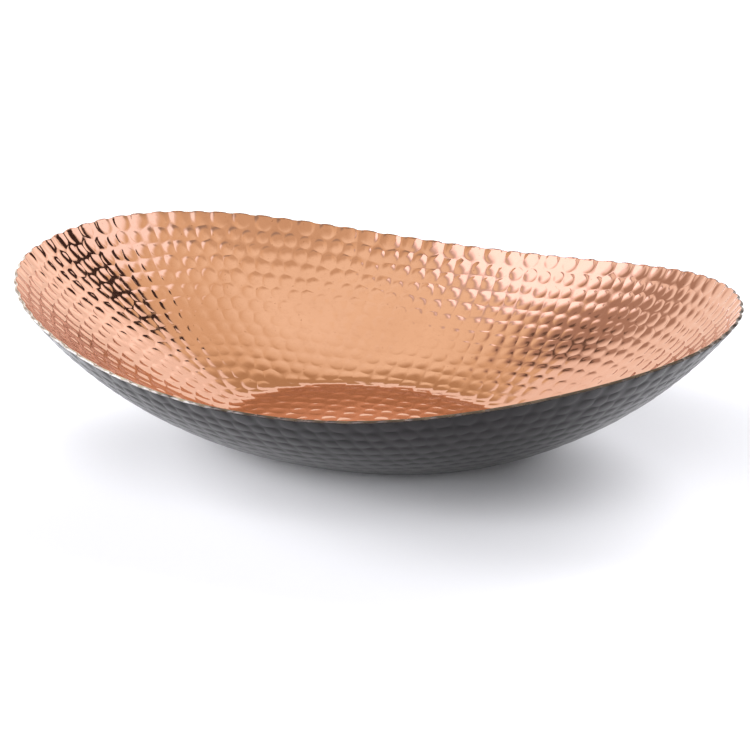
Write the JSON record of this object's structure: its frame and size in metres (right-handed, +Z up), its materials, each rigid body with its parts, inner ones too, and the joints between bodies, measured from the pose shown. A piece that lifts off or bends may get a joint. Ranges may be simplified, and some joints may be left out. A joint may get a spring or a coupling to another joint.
{
  "type": "hammered metal bowl",
  "caption": "Oval, boat-shaped hammered bowl with a copper liner, a dark outer shell and a bare metal lip, on a small flat base.",
  "frame": {"origin": "middle of the flat underside", "axes": "+X along the bowl's length, towards one tip; +Y across the bowl; +Z up out of its mouth"},
  "size_m": [0.3698, 0.284, 0.078],
  "materials": {
    "polished_copper": "mirror-polished hammered copper, lightly tarnished",
    "dark_coating": "dark gunmetal coating, satin",
    "bare_rim": "bare bright metal"
  },
  "bodies": {
    "root": {"copper_liner": "polished_copper", "outer_shell": "dark_coating", "rim_strip": "bare_rim"}
  },
  "joints": []
}
